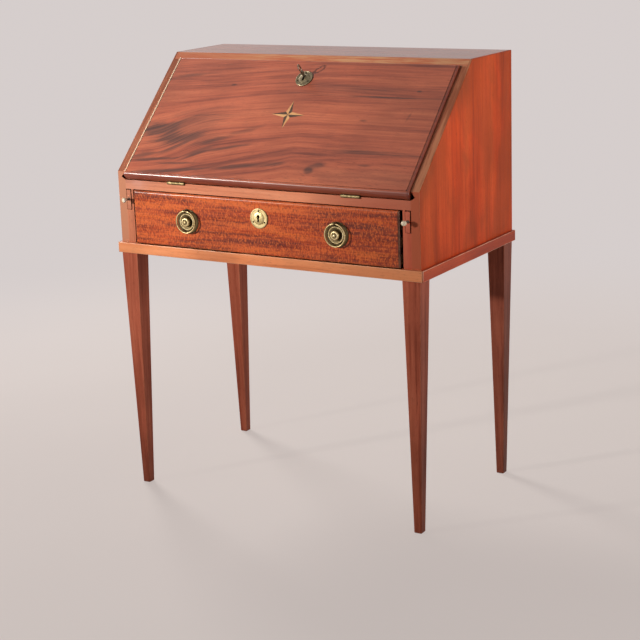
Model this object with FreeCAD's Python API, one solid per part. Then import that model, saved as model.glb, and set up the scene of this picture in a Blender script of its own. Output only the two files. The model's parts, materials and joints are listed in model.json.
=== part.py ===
import FreeCAD, Part
import math
import os

from FreeCAD import Placement, Rotation, Vector

# A slant-front writing desk (escritoire) on four tapered legs, in millimetres.
# +Z is up, +X is to the right as seen by the person sitting at the desk, and the front faces -Y.
# The origin is on the floor, under the middle of the whole desk.

# Case
desk_height = 960.0
case_width = 748.0
case_depth = 434.0
slope_rise = 236.0
slope_run = 243.0
slope_lip = 18.0
drawer_space_height = 120.0
side_thickness = 20.0
top_thickness = 14.0
top_lap = 5.0
back_thickness = 10.0
back_rebate = 10.0
back_board_count = 3
back_board_gap = 0.6
housing_depth = 6.0
rail_height = 20.0
rail_depth = 60.0
bed_thickness = 14.0
closing_rail_depth = 20.0
closing_rail_cover = 6.0
notch_width = 10.0
notch_depth = 12.0
notch_point_rise = 6.5

# Waist moulding and bottom board
waist_height = 23.0
waist_projection = 7.5
moulding_width = 16.0
moulding_round = 1.5

# Legs
leg_top = 41.0
leg_foot = 17.5
leg_top_inset = 0.6
leg_foot_inset = 12.6
leg_front_outset = 3.0
foot_front_inset = 5.0
foot_back_inset = 8.0
foot_chamfer = 1.5
leg_edge_round = 1.0
leg_tenon_radius = 8.5
leg_tenon_length = 18.0

# Stiles beside the drawer, and the lopers that carry the open fall
stile_width = 19.0
stile_depth = 28.0
loper_wall = 5.0
loper_opening_height = 46.0
loper_right_gap = 2.8
loper_top_gap = 2.0
loper_bearer_height = 12.0
loper_back_gap = 27.5
loper_recess = 0.5
loper_knob_radius = 5.5
loper_knob_reach = 21.0
knob_stem_radius = 2.2
knob_stem_depth = 9.0

# Fall
fall_thickness = 18.0
fall_side_gap = 1.0
fall_foot_gap = 2.6
fall_nose_round = 7.0
fall_edge_round = 2.5
fall_bead_width = 4.5
fall_quirk_width = 1.5
fall_quirk_depth = 1.5
fall_plate_drop = 49.8
star_height = 184.0
star_offset = -1.0
star_reach = 41.0
star_rise = 37.0
star_waist = 10.5
star_depth = 1.5
star_points = 4

# Hinges of the fall
hinge_from_end = 136.0
hinge_length = 44.0
knuckle_radius = 3.5
hinge_pin_radius = 1.5
leaf_thickness = 1.6
leaf_width = 22.0
leaf_screw_offset = 13.0
screw_head_radius = 2.8
screw_head_height = 1.2
screw_radius = 1.4
screw_length = 12.0

# Locks, key and escutcheons
lock_width = 60.0
lock_below_key = 18.0
lock_depth = 11.0
lock_wall = 1.5
bolt_width = 24.0
bolt_thickness = 6.0
bolt_throw = 9.0
bolt_recess = 0.5
key_radius = 2.8
key_bit_reach = 11.5
key_bit_thickness = 2.2
key_stand = 17.5
key_collar_radius = 4.0
key_collar_length = 4.6
key_bow_length = 22.5
key_bow_width = 13.5
key_bow_bar = 1.3
key_rest_turn = 20.0
keyhole_radius = 3.7
keyhole_slot = 4.4
strike_length = 44.0
strike_width = 11.0
strike_thickness = 1.0
fall_escutcheon_radius = 20.0
drawer_escutcheon_radius = 21.5
escutcheon_thickness = 4.4
escutcheon_pin_radius = 0.8
escutcheon_pin_head = 1.9
escutcheon_pin_length = 7.0
escutcheon_pin_count = 3

# Drawer
drawer_end_gap = 5.0
drawer_front_thickness = 18.0
drawer_proud = 6.0
drawer_top_gap = 1.5
drawer_bottom_gap = 1.0
drawer_edge_round = 4.5
drawer_plate_drop = 38.5
drawer_lock_offset = -2.6
drawer_side_thickness = 9.0
drawer_side_drop = 12.0
drawer_back_gap = 16.0
drawer_bottom_thickness = 6.0
drawer_bottom_rise = 9.0
drawer_groove = 4.0
dovetail_count = 3
dovetail_length = 11.0
dovetail_root = 16.0
dovetail_flare = 3.0
stop_length = 36.0
stop_width = 22.0
stop_height = 5.0
stop_from_end = 130.0

# Ring pulls
pull_from_end = 144.0
pull_plate_radius = 27.0
pull_reach = 15.0
pull_ring_radius = 23.6
pull_ring_bar = 1.5
pull_ring_stand = 10.0
pull_pin_radius = 1.2
pull_lug_width = 4.4
pull_lug_height = 6.0
pull_spindle_radius = 3.0
pull_spindle_spare = 7.0
pull_nut_radius = 7.5
pull_nut_height = 4.0

# Gallery inside the desk
gallery_front_gap = 2.5
gallery_board = 8.0
gallery_bay_height = 60.0
gallery_upright_count = 4
gallery_upright_scoop = 24.0
small_bay_half = 118.0
small_front_thickness = 10.0
small_wall = 5.0
small_bottom = 4.0
small_drawer_back_gap = 12.0
small_knob_radius = 5.0
small_knob_reach = 12.0

# Clearances, shared by the pieces that meet
slide_gap = 0.4
drawer_side_gap = 0.8
swing_gap = 0.5
running_gap = 0.05
edge_round = 1.2
overrun = 5.0

# Shapes that follow the size of their piece: radius and height of the turned brass, as shares
pull_plate_shares = [
    (1.0, 0.0), (1.0, 0.07), (0.97, 0.12), (0.9, 0.14), (0.69, 0.12), (0.67, 0.34), (0.645, 0.42),
    (0.61, 0.42), (0.5, 0.24), (0.38, 0.22), (0.35, 0.74), (0.31, 0.84), (0.236, 0.86), (0.195, 0.78),
    (0.118, 0.78), (0.1, 0.9), (0.064, 0.97), (0.0, 1.0),
]
escutcheon_seat_share = 0.42
escutcheon_shares = [
    (1.0, 0.0), (1.0, 0.42), (0.96, 0.56), (0.91, 0.58), (0.86, escutcheon_seat_share),
    (0.63, escutcheon_seat_share), (0.59, 0.7), (0.47, 0.86), (0.28, 0.97), (0.0, 1.0),
]
escutcheon_pin_ring_share = 0.745
loper_knob_shares = [
    (0.62, 0.0), (0.62, 0.05), (0.4, 0.12), (0.34, 0.3), (0.42, 0.46), (0.7, 0.53), (0.93, 0.63),
    (1.0, 0.75), (0.93, 0.87), (0.7, 0.96), (0.35, 0.995), (0.0, 1.0),
]
small_knob_shares = [
    (0.62, 0.0), (0.62, 0.1), (0.42, 0.2), (0.45, 0.34), (0.78, 0.46), (0.97, 0.6), (1.0, 0.72),
    (0.86, 0.88), (0.5, 0.98), (0.0, 1.0),
]
pin_head_share = 0.6
leaf_screw_shares = [-0.3, 0.3]
middle_knuckle_share = 1 / 3
bow_chamfer_share = 0.58

# Derived sizes and places
straight_angle = 180.0
right_angle = straight_angle / 2
full_turn = straight_angle * 2
same_place = 1e-4
half_width = case_width / 2
inner_half = half_width - side_thickness
slope_start_height = desk_height - slope_rise
writing_height = slope_start_height - slope_lip
rail_bottom = writing_height - rail_height
bed_bottom = writing_height - bed_thickness
waist_top = rail_bottom - drawer_space_height
leg_length = waist_top - waist_height
top_underside = desk_height - top_thickness
front_reach = drawer_proud + pull_reach
front_y = front_reach - (case_depth + front_reach) / 2
back_y = front_y + case_depth
back_inner_y = back_y - back_thickness
slope_angle = math.atan2(slope_rise, slope_run)
slope_up = Vector(0, math.cos(slope_angle), math.sin(slope_angle))
slope_out = Vector(0, -math.sin(slope_angle), math.cos(slope_angle))
opening_half = inner_half - stile_width
loper_bottom = rail_bottom - loper_opening_height
key_rise = (key_bit_reach - key_radius) / 2
drawer_half = opening_half - drawer_end_gap
pull_offset = drawer_half - pull_from_end
drawer_face_y = front_y - drawer_proud
drawer_inner_y = drawer_face_y + drawer_front_thickness
drawer_bottom_z = waist_top + drawer_bottom_gap
drawer_top_z = rail_bottom - drawer_top_gap
drawer_middle_z = (waist_top + rail_bottom) / 2
drawer_run_z = waist_top + slide_gap
drawer_end_y = back_inner_y - drawer_back_gap
shelf_bottom_z = writing_height + gallery_bay_height
shelf_top_z = shelf_bottom_z + gallery_board

# The fall is modelled standing upright on its hinge axis, with its inner face on y = 0 and its outside
# towards -Y, and is then leaned back onto the slope.
hinge_axis = Vector(0, front_y - swing_gap, writing_height)
top_front_y = front_y + slope_run * (top_underside - slope_start_height) / slope_rise
top_front_low = Vector(0, top_front_y, top_underside)
closing_reach = (top_front_low - hinge_axis).dot(slope_up)
closing_offset = (top_front_low - hinge_axis).dot(slope_out)
closing_low = top_front_low - slope_out * (closing_offset + closing_rail_cover)
closing_back_y = closing_low.y + closing_rail_depth
gallery_front_y = closing_back_y + gallery_front_gap
fall_height = closing_reach - swing_gap
fall_half = inner_half - fall_side_gap
hinge_offset = fall_half - hinge_from_end
fall_lean = math.degrees(slope_angle) - right_angle
fall_frame = Placement(hinge_axis, Rotation(Vector(1, 0, 0), fall_lean))
fall_plate_z = fall_height - fall_plate_drop
fall_key_z = fall_plate_z + key_rise
drawer_frame = Placement(Vector(drawer_lock_offset, drawer_inner_y, 0), Rotation())
drawer_plate_z = drawer_top_z - drawer_plate_drop
drawer_key_z = drawer_plate_z + key_rise


def block(x_low, x_high, y_low, y_high, z_low, z_high):
    size = Vector(x_high - x_low, y_high - y_low, z_high - z_low)
    return Part.makeBox(size.x, size.y, size.z, Vector(x_low, y_low, z_low))


def rod(radius, start, end):
    along = end - start
    return Part.makeCylinder(radius, along.Length, start, along)


def prism(points, along):
    """A solid with the polygon of these points as its end, drawn out by a vector."""
    return Part.Face(Part.makePolygon(points + points[:1])).extrude(along)


def side_prism(outline, x_low, x_high):
    """A prism across the desk, from points given as y and z."""
    points = [Vector(x_low, y, z) for y, z in outline]
    return prism(points, Vector(x_high - x_low, 0, 0))


def turned(shares, radius, height):
    """A turned piece that stands on the plane y = 0 and points along -Y."""
    points = [Vector(0, 0, 0)] + [Vector(radius * r, -height * h, 0) for r, h in shares]
    face = Part.Face(Part.makePolygon(points + points[:1]))
    return face.revolve(Vector(0, 0, 0), Vector(0, 1, 0), full_turn)


def moved(shape, x=0, y=0, z=0):
    copy = shape.copy()
    copy.translate(Vector(x, y, z))
    return copy


def placed(shape, frame):
    copy = shape.copy()
    copy.Placement = frame.multiply(copy.Placement)
    return copy


def mirrored(shape):
    return shape.mirror(Vector(0, 0, 0), Vector(1, 0, 0))


def cut_all(shape, tools):
    for tool in tools:
        shape = shape.cut(tool)
    return shape


def rounded(shape, radius, wanted):
    """Rounds the straight edges whose two ends both pass the test."""
    edges = [e for e in shape.Edges if len(e.Vertexes) == 2 and all(wanted(v.Point) for v in e.Vertexes)]
    return shape.makeFillet(radius, edges)


def middles(low, high, count):
    """The middles of so many equal lengths between two ends."""
    length = (high - low) / count
    return [low + length * n + length / 2 for n in range(count)]


def at(value, place):
    return abs(value - place) < same_place


def save(name, *shapes):
    solids = [solid for shape in shapes for solid in shape.Solids]
    whole = solids[0] if len(solids) == 1 else Part.makeCompound(solids)
    whole.exportStep("parts/" + name + ".step")


def save_pair(name, right):
    save("right_" + name, right)
    save("left_" + name, mirrored(right))


def screw(head, inward):
    """A flat-headed screw whose head is flush with the surface at this point."""
    neck = head + inward * screw_head_height
    return rod(screw_head_radius, head, neck).fuse(rod(screw_radius, neck, head + inward * screw_length))


def screw_hole(head, inward):
    neck = head + inward * screw_head_height
    wide = rod(screw_head_radius + running_gap, head - inward * overrun, neck)
    return wide.fuse(rod(screw_radius + running_gap, neck, head + inward * (screw_length + running_gap)))


def keyhole(z):
    """The tool that cuts a keyhole through an upright panel: a round hole with a slot below it."""
    deep = fall_thickness + drawer_front_thickness
    hole = rod(keyhole_radius, Vector(0, -deep, z), Vector(0, -lock_wall, z))
    slot_low = z - key_bit_reach - swing_gap
    return hole.fuse(block(-keyhole_slot / 2, keyhole_slot / 2, -deep, -lock_wall, slot_low, z))


def lock_body(key_z, top_z):
    half = lock_width / 2
    return block(-half, half, -lock_depth, 0, key_z - lock_below_key, top_z)


def bolt_way(low, high, gap):
    """The space of the bolt, grown by a gap: it runs in the middle of the lock's thickness."""
    half = bolt_width / 2 + gap
    middle = -lock_depth / 2
    reach = bolt_thickness / 2 + gap
    return block(-half, half, middle - reach, middle + reach, low, high)


def lock_case(key_z, top_z):
    half = lock_width / 2 - lock_wall
    hollow = block(
        -half, half, lock_wall - lock_depth, -lock_wall, key_z - lock_below_key + lock_wall, top_z - lock_wall
    )
    way = bolt_way(top_z - lock_wall - overrun, top_z + overrun, slide_gap)
    return cut_all(lock_body(key_z, top_z), [hollow, way, keyhole(key_z)])


def lock_bolt(key_z, top_z):
    return bolt_way(key_z + key_bit_reach + lock_wall, top_z - bolt_recess, 0)


def bolt_mortise(top_z):
    return bolt_way(top_z - overrun, top_z + bolt_throw + swing_gap, slide_gap)


def pin_places(radius, z):
    """Where the pins of an escutcheon go: one at the top, the others evenly round."""
    ring = radius * escutcheon_pin_ring_share
    turns = [full_turn * n / escutcheon_pin_count for n in range(escutcheon_pin_count)]
    return [(ring * math.sin(math.radians(t)), z + ring * math.cos(math.radians(t))) for t in turns]


def escutcheon(radius, face_y, z):
    """A turned plate with the keyhole in its middle, so that the key turns above the plate's centre."""
    plate = moved(turned(escutcheon_shares, radius, escutcheon_thickness), 0, face_y, z)
    return cut_all(plate, [keyhole(z + key_rise)] + pin_holes(radius, face_y, z))


def pin_seat_y(face_y):
    """The flat ring of an escutcheon, where the heads of its pins sit."""
    return face_y - escutcheon_thickness * escutcheon_seat_share


def escutcheon_pins(radius, face_y, z):
    head = escutcheon_pin_head * pin_head_share
    out = Vector(0, -1, 0)
    pins = []
    for x, pin_z in pin_places(radius, z):
        seat = Vector(x, pin_seat_y(face_y), pin_z)
        shank = rod(escutcheon_pin_radius, seat - out * escutcheon_pin_length, seat)
        pins.append(shank.fuse(Part.makeCone(escutcheon_pin_head, escutcheon_pin_radius, head, seat, out)))
    return pins


def pin_holes(radius, face_y, z):
    out = Vector(0, -1, 0)
    holes = []
    for x, pin_z in pin_places(radius, z):
        seat = Vector(x, pin_seat_y(face_y), pin_z)
        end = seat - out * (escutcheon_pin_length + running_gap)
        holes.append(rod(escutcheon_pin_radius + running_gap, seat + out * overrun, end))
    return holes


def knob(shares, radius, reach):
    stem = rod(knob_stem_radius, Vector(0, knob_stem_depth, 0), Vector(0, 0, 0))
    return turned(shares, radius, reach).fuse(stem)


def knob_hole():
    deep = knob_stem_depth + running_gap
    return rod(knob_stem_radius + running_gap, Vector(0, deep, 0), Vector(0, -overrun, 0))


def make_case():
    # Top board, with its front edge cut on the slope
    slope_top_y = front_y + slope_run
    top_half = half_width - top_lap
    outline = [
        (slope_top_y, desk_height), (top_front_y, top_underside),
        (back_y, top_underside), (back_y, desk_height),
    ]
    top = side_prism(outline, -top_half, top_half)
    top_rounded = rounded(top, edge_round, lambda p: at(p.z, desk_height) and at(p.y, slope_top_y))
    mortise = placed(bolt_mortise(fall_height), fall_frame)
    save("top_board", top_rounded.cut(mortise))

    # Rail under the top that the fall shuts against, mortised like the top for the bolt of its lock
    outline = [
        (top_front_y, top_underside), (closing_low.y, closing_low.z),
        (closing_back_y, closing_low.z), (closing_back_y, top_underside),
    ]
    closing_rail = side_prism(outline, -inner_half, inner_half)
    strike_half = strike_length / 2
    strike_middle = -lock_depth / 2
    strike = block(
        -strike_half, strike_half, strike_middle - strike_width / 2, strike_middle + strike_width / 2,
        closing_reach, closing_reach + strike_thickness,
    )
    save("closing_rail", cut_all(closing_rail, [mortise, placed(strike, fall_frame)]))
    save("fall_strike_plate", placed(strike, fall_frame).cut(mortise))

    # Writing bed and the front rail before it
    rail_back_y = front_y + rail_depth
    bed_half = inner_half + housing_depth
    bed = block(-bed_half, bed_half, rail_back_y, back_inner_y, bed_bottom, writing_height)
    save("writing_bed", bed)
    rail = block(-inner_half, inner_half, front_y, rail_back_y, rail_bottom, writing_height)
    drawer_mortise = placed(bolt_mortise(drawer_top_z), drawer_frame)
    rail = cut_all(rail, [drawer_mortise] + hinge_seats(rail_leaf_blank()) + rail_screw_holes())
    save("front_rail", rail)

    # Gallery shelf and partitions
    shelf = block(-bed_half, bed_half, gallery_front_y, back_inner_y, shelf_bottom_z, shelf_top_z)
    save("gallery_shelf", shelf)
    save("gallery_partitions", *gallery_partitions())

    # Sides
    outline = [
        (front_y, waist_top), (front_y, slope_start_height), (slope_top_y, desk_height),
        (back_y, desk_height), (back_y, waist_top),
    ]
    side = side_prism(outline, inner_half, half_width)

    def outer_edge(p):
        return at(p.x, half_width)

    base_edge = block(inner_half, half_width, front_y, back_y, waist_top - overrun, waist_top)
    side = rounded(side.fuse(base_edge).removeSplitter(), edge_round, outer_edge)
    side = side.cut(block(0, case_width, front_y - overrun, back_y + overrun, 0, waist_top))
    back_way = block(0, inner_half + back_rebate, back_inner_y, back_y + overrun, 0, top_underside)
    notch = [
        Vector(inner_half - overrun, front_y - overrun, writing_height),
        Vector(inner_half, front_y - overrun, writing_height),
        Vector(inner_half + notch_width, front_y - overrun, writing_height + notch_point_rise),
        Vector(inner_half, front_y - overrun, slope_start_height),
        Vector(inner_half - overrun, front_y - overrun, slope_start_height),
    ]
    notch_tool = prism(notch, Vector(0, overrun + notch_depth, 0))
    side = cut_all(side, [top, bed, shelf, back_way, notch_tool])
    save_pair("side_panel", cut_all(side, side_back_screw_holes()))

    # Back boards, one above another in the rebate of the sides
    board_height = (top_underside - waist_top) / back_board_count
    board_half = inner_half + back_rebate
    boards = []
    for n in range(back_board_count):
        low = waist_top + n * board_height
        high = low + board_height - back_board_gap
        board = block(-board_half, board_half, back_inner_y, back_y, low, high)
        board = cut_all(board, side_back_screw_holes())
        boards.append(cut_all(board, [mirrored(hole) for hole in side_back_screw_holes()]))
    save("back_boards", *boards)
    screws = [screw(p, Vector(0, -1, 0)) for p in back_screw_places()]
    save("back_board_screws", *(screws + [mirrored(s) for s in screws]))


def back_screw_places():
    """The right-hand screws of the back boards, one at the middle of each board's end."""
    x = inner_half + back_rebate / 2
    return [Vector(x, back_y, z) for z in middles(waist_top, top_underside, back_board_count)]


def side_back_screw_holes():
    return [screw_hole(p, Vector(0, -1, 0)) for p in back_screw_places()]


def gallery_partitions():
    """Scooped uprights between the pigeonholes, and two low dividers beside the small drawers."""
    pitch = 2 * inner_half / (gallery_upright_count + 1)
    low = Vector(0, gallery_front_y, shelf_top_z)
    high = Vector(0, gallery_front_y, top_underside)
    middle = (low + high) / 2 + Vector(0, gallery_upright_scoop, 0)
    back_low = Vector(0, back_inner_y, shelf_top_z)
    back_high = Vector(0, back_inner_y, top_underside)
    edges = [Part.Arc(low, middle, high).toShape()]
    for start, end in ((high, back_high), (back_high, back_low), (back_low, low)):
        edges.append(Part.makeLine(start, end))
    upright = Part.Face(Part.Wire(edges)).extrude(Vector(gallery_board, 0, 0))
    pieces = []
    for n in range(gallery_upright_count):
        pieces.append(moved(upright, (n + 1) * pitch - inner_half - gallery_board / 2))
    divider = block(
        small_bay_half, small_bay_half + gallery_board, gallery_front_y, back_inner_y,
        writing_height, shelf_bottom_z,
    )
    return pieces + [divider, mirrored(divider)]


def make_base():
    # Waist moulding, mitred at the front corners
    outer = half_width + waist_projection
    inner = outer - moulding_width
    outer_y = front_y - waist_projection
    inner_y = outer_y + moulding_width
    up = Vector(0, 0, waist_height)
    front = [(-outer, outer_y), (outer, outer_y), (inner, inner_y), (-inner, inner_y)]
    front = prism([Vector(x, y, leg_length) for x, y in front], up)
    front = rounded(front, moulding_round, lambda p: at(p.y, outer_y))
    side = [(outer, outer_y), (outer, back_y), (inner, back_y), (inner, inner_y)]
    side = prism([Vector(x, y, leg_length) for x, y in side], up)
    side = rounded(side, moulding_round, lambda p: at(p.x, outer))
    board = block(-inner, inner, inner_y, back_y, leg_length, waist_top)

    # Legs, whose tenons go up into the bottom board and into any moulding that they reach
    for y_name in ("front", "back"):
        leg, hole = make_leg(y_name == "back")
        save(y_name + "_right_leg", leg)
        save(y_name + "_left_leg", mirrored(leg))
        front = cut_all(front, [hole, mirrored(hole)])
        side = side.cut(hole)
        board = cut_all(board, [hole, mirrored(hole)])
    save("bottom_board", board)
    save("waist_moulding_front", front)
    save("waist_moulding_right", side)
    save("waist_moulding_left", mirrored(side))

    # Stops that the drawer front shuts against
    stop_y = drawer_inner_y + slide_gap
    stop_x = drawer_half - stop_from_end
    stop = block(
        stop_x - stop_length / 2, stop_x + stop_length / 2, stop_y, stop_y + stop_width,
        waist_top, waist_top + stop_height,
    )
    save("drawer_stops", stop, mirrored(stop))


def square(x_outer, y_outer, y_way, side, z):
    """A square wire with one corner at the outer corner of the right-hand leg."""
    corners = [(0, 0), (-side, 0), (-side, y_way * side), (0, y_way * side)]
    points = [Vector(x_outer + x, y_outer + y, z) for x, y in corners]
    return Part.makePolygon(points + points[:1])


def make_leg(back):
    """The right-hand front or back leg, and the tool that bores the hole for its tenon."""
    y_way = -1 if back else 1
    y_top = back_y if back else front_y - leg_front_outset
    y_foot = back_y - foot_back_inset if back else front_y + foot_front_inset
    x_top = half_width - leg_top_inset
    x_foot = half_width - leg_foot_inset
    toe = leg_foot - 2 * foot_chamfer
    shaft = Part.makeLoft(
        [
            square(x_foot, y_foot, y_way, leg_foot, foot_chamfer),
            square(x_top, y_top, y_way, leg_top, leg_length),
        ],
        True,
        True,
    )
    shaft = shaft.makeFillet(leg_edge_round, [e for e in shaft.Edges if e.Length > leg_length / 2])
    tip = Part.makeLoft(
        [
            square(x_foot - foot_chamfer, y_foot + y_way * foot_chamfer, y_way, toe, 0),
            square(x_foot, y_foot, y_way, leg_foot, foot_chamfer),
        ],
        True,
        True,
    )
    tip = tip.common(shaft_column(shaft))
    middle = Vector(x_top - leg_top / 2, y_top + y_way * leg_top / 2, leg_length)
    rise = Vector(0, 0, 1)
    tenon = rod(leg_tenon_radius, middle - rise * overrun, middle + rise * leg_tenon_length)
    hole_end = middle + rise * (leg_tenon_length + running_gap)
    hole = rod(leg_tenon_radius + running_gap, middle - rise * overrun, hole_end)
    return shaft.fuse(tip).fuse(tenon).removeSplitter(), hole


def shaft_column(shaft):
    """The lower end of the shaft drawn down to the floor, so that the toe keeps its rounded corners."""
    faces = [f for f in shaft.Faces if at(f.BoundBox.ZMax, foot_chamfer)]
    return faces[0].extrude(Vector(0, 0, -foot_chamfer))


def make_stiles_and_lopers():
    loper_x_low = opening_half + loper_wall
    stile = block(opening_half, inner_half, front_y, front_y + stile_depth, waist_top, rail_bottom)
    way = block(
        loper_x_low, half_width, front_y - overrun, front_y + stile_depth + overrun,
        loper_bottom, rail_bottom + overrun,
    )
    save_pair("front_stile", stile.cut(way))

    # Guide between drawer and loper, and the bearer that the loper runs on
    guide_y = front_y + stile_depth
    guide = block(drawer_half + drawer_side_gap, loper_x_low, guide_y, back_inner_y, waist_top, bed_bottom)
    over = block(0, half_width, front_y, front_y + rail_depth, rail_bottom, writing_height)
    save_pair("loper_guide", guide.cut(over))
    bearer = block(
        loper_x_low, inner_half, guide_y, back_inner_y, loper_bottom - loper_bearer_height, loper_bottom
    )
    save("loper_bearers", bearer, mirrored(bearer))

    # Lopers with their knobs, both lying to the left in their openings
    loper_y = front_y + loper_recess
    loper_left = loper_x_low + slide_gap
    loper_right = inner_half - loper_right_gap
    loper = block(
        loper_left, loper_right, loper_y, back_inner_y - loper_back_gap,
        loper_bottom + slide_gap, rail_bottom - loper_top_gap,
    )
    loper = rounded(loper, loper_recess, lambda p: at(p.y, loper_y))
    knob_x = (loper_left + loper_right) / 2
    knob_z = (loper_bottom + rail_bottom) / 2
    loper = loper.cut(moved(knob_hole(), knob_x, loper_y, knob_z))
    loper_knob = moved(knob(loper_knob_shares, loper_knob_radius, loper_knob_reach), knob_x, loper_y, knob_z)
    to_left = -(loper_x_low + inner_half)
    for name, piece in (("loper", loper), ("loper_knob", loper_knob)):
        save("right_" + name, piece)
        save("left_" + name, moved(piece, to_left))


def star_halves(light):
    """The light or the dark half of each point of the star, let into the outside of the upright fall."""
    step = full_turn / star_points
    face_y = -fall_thickness
    pieces = []
    for n in range(star_points):
        tip_turn = math.radians(n * step)
        waist_turn = tip_turn + math.radians(step / 2) * (-1 if light else 1)
        tip_reach = star_reach if n % 2 else star_rise
        corners = [(0, 0)]
        for reach, turn in ((tip_reach, tip_turn), (star_waist, waist_turn)):
            corners.append((reach * math.sin(turn), reach * math.cos(turn)))
        points = [Vector(star_offset + x, face_y, star_height + z) for x, z in corners]
        pieces.append(prism(points, Vector(0, star_depth, 0)))
    return pieces


def fall_quirks():
    """The narrow grooves that set off a bead along the ends and the foot of the fall."""
    outside = -fall_thickness
    inside = outside + fall_quirk_depth
    low = fall_foot_gap + fall_nose_round
    bead_x = fall_half - fall_bead_width
    end = block(bead_x - fall_quirk_width, bead_x, outside - overrun, inside, low, fall_height + overrun)
    foot = block(-bead_x, bead_x, outside - overrun, inside, low, low + fall_quirk_width)
    return [end, mirrored(end), foot]


def make_fall():
    outside = -fall_thickness
    nose_top = fall_foot_gap + fall_nose_round
    board = block(-fall_half, fall_half, outside, 0, fall_foot_gap, fall_height)
    board = rounded(board, fall_nose_round, lambda p: at(p.y, outside) and at(p.z, fall_foot_gap))
    board = rounded(board, fall_edge_round, lambda p: at(p.y, outside) and p.z > nose_top - same_place)
    board = cut_all(board, fall_quirks())
    light = star_halves(True)
    dark = star_halves(False)
    board = cut_all(board, light + dark)
    board = cut_all(board, [lock_body(fall_key_z, fall_height), keyhole(fall_key_z)])
    board = cut_all(board, pin_holes(fall_escutcheon_radius, outside, fall_plate_z))
    board = cut_all(board, hinge_seats(fall_leaf_blank(), upright=True))
    board = cut_all(board, fall_screw_holes())
    pieces = {
        "fall_board": [board],
        "star_inlay_light": light,
        "star_inlay_dark": dark,
        "fall_escutcheon": [escutcheon(fall_escutcheon_radius, outside, fall_plate_z)],
        "fall_escutcheon_pins": escutcheon_pins(fall_escutcheon_radius, outside, fall_plate_z),
        "fall_lock_case": [lock_case(fall_key_z, fall_height)],
        "fall_lock_bolt": [lock_bolt(fall_key_z, fall_height)],
        "fall_key": [make_key()],
    }
    for name, shapes in pieces.items():
        save(name, *[placed(s, fall_frame) for s in shapes])


def bow_face(half_long, half_wide, middle_y, z):
    """A long face with two straight sides and two round ends, upright in the plane of the key's bow."""
    straight = half_long - half_wide
    outline = [
        (-straight, half_wide), (straight, half_wide), (half_long, 0),
        (straight, -half_wide), (-straight, -half_wide), (-half_long, 0),
    ]
    points = [Vector(-key_bow_bar, middle_y + y, z + rise) for y, rise in outline]
    far, near, root, near_low, far_low, tip = points
    edges = [
        Part.makeLine(far, near), Part.Arc(near, root, near_low).toShape(),
        Part.makeLine(near_low, far_low), Part.Arc(far_low, tip, far).toShape(),
    ]
    return Part.Face(Part.Wire(edges))


def key_bow(middle_y, z):
    """The long bow of the key, with its edges taken off so that its bar is nearly round."""
    bar = 2 * key_bow_bar
    half_long = key_bow_length / 2
    half_wide = key_bow_width / 2
    outer = bow_face(half_long, half_wide, middle_y, z)
    loop = outer.cut(bow_face(half_long - bar, half_wide - bar, middle_y, z)).extrude(Vector(bar, 0, 0))
    edges = [e for e in loop.Edges if all(at(abs(v.Point.x), key_bow_bar) for v in e.Vertexes)]
    rims = [e for e in edges if at(e.BoundBox.XLength, 0)]
    return loop.makeChamfer(key_bow_bar * bow_chamfer_share, rims)


def make_key():
    """The key in the fall's lock, turned a little: bit inside the lock, shank in the keyhole, bow outside."""
    z = fall_key_z
    bit_y = lock_wall - lock_depth + slide_gap
    inner_y = -lock_wall - slide_gap
    bow_end_y = -fall_thickness - key_stand
    root = Vector(0, bow_end_y - key_bow_bar, z)
    shank = rod(key_radius, Vector(0, inner_y, z), root)
    bit = block(-key_bit_thickness / 2, key_bit_thickness / 2, bit_y, inner_y, z - key_bit_reach, z)
    collar = rod(key_collar_radius, root + Vector(0, key_collar_length, 0), root)
    bow = key_bow(bow_end_y - key_bow_length / 2, z)
    key = shank.fuse(bit).fuse(collar).fuse(bow).removeSplitter()
    key.rotate(Vector(0, 0, z), Vector(0, -1, 0), key_rest_turn)
    return key


def hinge_places():
    return [-hinge_offset, hinge_offset]


def rail_leaf_blank():
    """A hinge leaf let into the top of the rail, before its barrel is added, centred on x = 0."""
    half = hinge_length / 2
    y = hinge_axis.y
    z = writing_height
    return block(-half, half, y, y + leaf_width, z - leaf_thickness, z)


def fall_leaf_blank():
    half = hinge_length / 2
    return block(-half, half, -leaf_thickness, 0, 0, leaf_width)


def hinge_seats(blank, upright=False):
    """What a board loses to the two hinges: the leaf and the room for the barrel."""
    centre = Vector(0, 0, 0) if upright else hinge_axis
    half = Vector(hinge_length / 2 + swing_gap, 0, 0)
    room = rod(knuckle_radius + swing_gap, centre - half, centre + half)
    return [moved(tool, x) for tool in (blank, room) for x in hinge_places()]


def knuckle(low, high, centre, radius):
    return rod(radius, centre + Vector(low, 0, 0), centre + Vector(high, 0, 0))


def hinge_leaf(blank, centre, own, others):
    """A leaf with its own knuckles, cleared for the other leaf's knuckles and for the pin."""
    leaf = blank
    for low, high in own:
        leaf = leaf.fuse(knuckle(low, high, centre, knuckle_radius))
    for low, high in others:
        leaf = leaf.cut(knuckle(low - swing_gap, high + swing_gap, centre, knuckle_radius + swing_gap))
    half = hinge_length / 2 + overrun
    return leaf.cut(knuckle(-half, half, centre, hinge_pin_radius + running_gap))


def screw_spots():
    return [share * hinge_length for share in leaf_screw_shares]


def rail_screw_places():
    y = hinge_axis.y + leaf_screw_offset
    return [Vector(x + spot, y, writing_height) for x in hinge_places() for spot in screw_spots()]


def fall_screw_places():
    return [Vector(x + spot, 0, leaf_screw_offset) for x in hinge_places() for spot in screw_spots()]


def rail_screw_holes():
    return [screw_hole(p, Vector(0, 0, -1)) for p in rail_screw_places()]


def fall_screw_holes():
    return [screw_hole(p, Vector(0, -1, 0)) for p in fall_screw_places()]


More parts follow.
